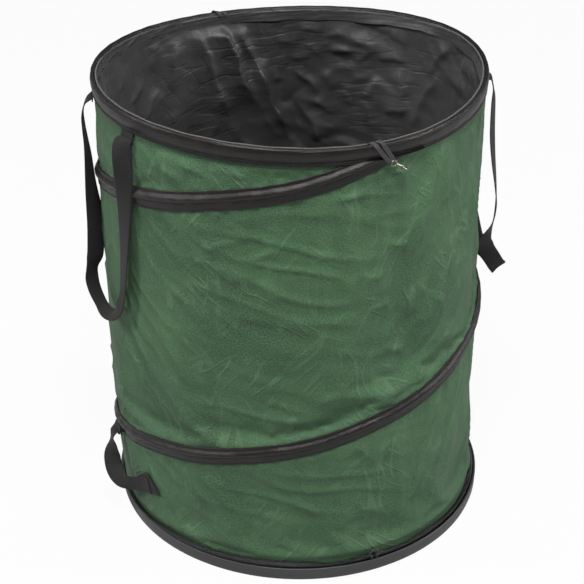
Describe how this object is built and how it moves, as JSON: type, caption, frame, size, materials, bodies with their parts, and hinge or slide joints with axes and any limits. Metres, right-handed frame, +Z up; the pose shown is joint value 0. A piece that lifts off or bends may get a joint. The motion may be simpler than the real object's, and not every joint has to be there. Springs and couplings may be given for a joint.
{
  "type": "pop-up garden waste bag",
  "caption": "Round pop-up garden waste bag of green cloth on a coiled spring wire, with a black lining, a hard base tray, webbing handles and hook closures; it folds flat.",
  "frame": {"origin": "middle of the tray's underside, on the surface the bag stands on", "axes": "+Z up the bag, -Y towards the front closure's side as pictured, +X to the right"},
  "size_m": [0.61, 0.56, 0.6863],
  "materials": {
    "binding_tape": "black binding tape, ribbed, matte",
    "closure_elastic": "dark grey elastic tape",
    "floor_cloth": "black cloth floor",
    "green_cloth": "dark green coated polyester cloth, fine weave, matte with a slight sheen",
    "hook_steel": "plated wire",
    "lining_cloth": "black coated lining cloth, creased, slight sheen",
    "loop_cord": "dark cord",
    "piping_cord": "light grey piping cord",
    "rivet_plastic": "black plastic",
    "spring_steel": "spring steel wire",
    "tray_plastic": "dark grey moulded plastic, fine grain",
    "webbing": "black woven webbing"
  },
  "bodies": {
    "base": {"base_tray": "tray_plastic", "floor_panel": "floor_cloth", "base_rivet_1": "rivet_plastic", "base_rivet_2": "rivet_plastic", "base_rivet_3": "rivet_plastic", "base_rivet_4": "rivet_plastic", "rivet_washer_1": "rivet_plastic", "rivet_washer_2": "rivet_plastic", "rivet_washer_3": "rivet_plastic", "rivet_washer_4": "rivet_plastic", "base_binding": "binding_tape", "base_hoop": "spring_steel", "side_panel": "green_cloth", "inner_lining": "lining_cloth", "spiral_spring": "spring_steel", "spiral_sleeve": "binding_tape"},
    "rim": {"rim_sleeve": "binding_tape", "rim_piping": "piping_cord", "rim_hoop": "spring_steel", "left_handle_sewn_end_1": "webbing", "left_handle_sewn_end_2": "webbing", "right_handle_sewn_end_1": "webbing", "right_handle_sewn_end_2": "webbing", "front_closure_tab": "closure_elastic", "back_closure_tab": "closure_elastic"},
    "left_handle": {"left_carry_handle": "webbing"},
    "right_handle": {"right_carry_handle": "webbing"},
    "tipping_sewn_ends": {"tipping_sewn_end_1": "webbing", "tipping_sewn_end_2": "webbing"},
    "tipping_handle": {"tipping_handle": "webbing"},
    "front_tape": {"front_closure_tape": "closure_elastic"},
    "front_hook": {"front_closure_hook": "hook_steel"},
    "front_loop": {"front_base_loop": "loop_cord"},
    "back_tape": {"back_closure_tape": "closure_elastic"},
    "back_hook": {"back_closure_hook": "hook_steel"},
    "back_loop": {"back_base_loop": "loop_cord"}
  },
  "joints": [
    {"name": "collapse", "type": "slide", "parent": "base", "child": "rim", "axis": [-0.019, 0, 0.9998], "range_m": [-0.6, 0], "stiffness_N_per_m": 60, "springref_m": 0.3, "deforming": ["side_panel", "inner_lining", "spiral_spring", "spiral_sleeve", "tipping_handle"]},
    {"name": "left_handle_swing", "type": "hinge", "parent": "rim", "child": "left_handle", "pos_m": [-0.25616, -0.10857, 0.6482], "axis": [-0.4067, 0.9135, 0], "range_deg": [0, 140]},
    {"name": "right_handle_swing", "type": "hinge", "parent": "rim", "child": "right_handle", "pos_m": [0.23156, 0.10857, 0.6482], "axis": [0.4067, -0.9135, 0], "range_deg": [0, 140]},
    {"name": "tipping_slide", "type": "slide", "parent": "base", "child": "tipping_sewn_ends", "axis": [-0.019, 0, 0.9998], "range_m": [-0.0699, 0]},
    {"name": "tipping_handle_swing", "type": "hinge", "parent": "tipping_sewn_ends", "child": "tipping_handle", "pos_m": [-0.23728, -0.13577, 0.11221], "axis": [-0.4981, 0.8587, 0.1203], "range_deg": [0, 110]},
    {"name": "front_tape_swing", "type": "hinge", "parent": "rim", "child": "front_tape", "pos_m": [0.10032, -0.25451, 0.6817], "axis": [-0.9135, -0.4067, 0], "range_deg": [0, 150]},
    {"name": "front_hook_swing", "type": "hinge", "parent": "front_tape", "child": "front_hook", "pos_m": [0.11952, -0.24596, 0.65665], "axis": [-0.6998, -0.3116, -0.6428], "range_deg": [0, 100]},
    {"name": "front_loop_swing", "type": "hinge", "parent": "base", "child": "front_loop", "pos_m": [0.11364, -0.25524, 0.0236], "axis": [0.9135, 0.4067, 0], "range_deg": [0, 95]},
    {"name": "back_tape_swing", "type": "hinge", "parent": "rim", "child": "back_tape", "pos_m": [-0.12632, 0.25451, 0.6817], "axis": [0.9135, 0.4067, 0], "range_deg": [0, 150]},
    {"name": "back_hook_swing", "type": "hinge", "parent": "back_tape", "child": "back_hook", "pos_m": [-0.14552, 0.24596, 0.65665], "axis": [0.6998, 0.3116, -0.6428], "range_deg": [0, 100]},
    {"name": "back_loop_swing", "type": "hinge", "parent": "base", "child": "back_loop", "pos_m": [-0.11364, 0.25524, 0.0236], "axis": [-0.9135, -0.4067, 0], "range_deg": [0, 95]}
  ],
  "couplings": [
    {"joint": "tipping_slide", "follows": "collapse", "ratio": 0.1165}
  ]
}
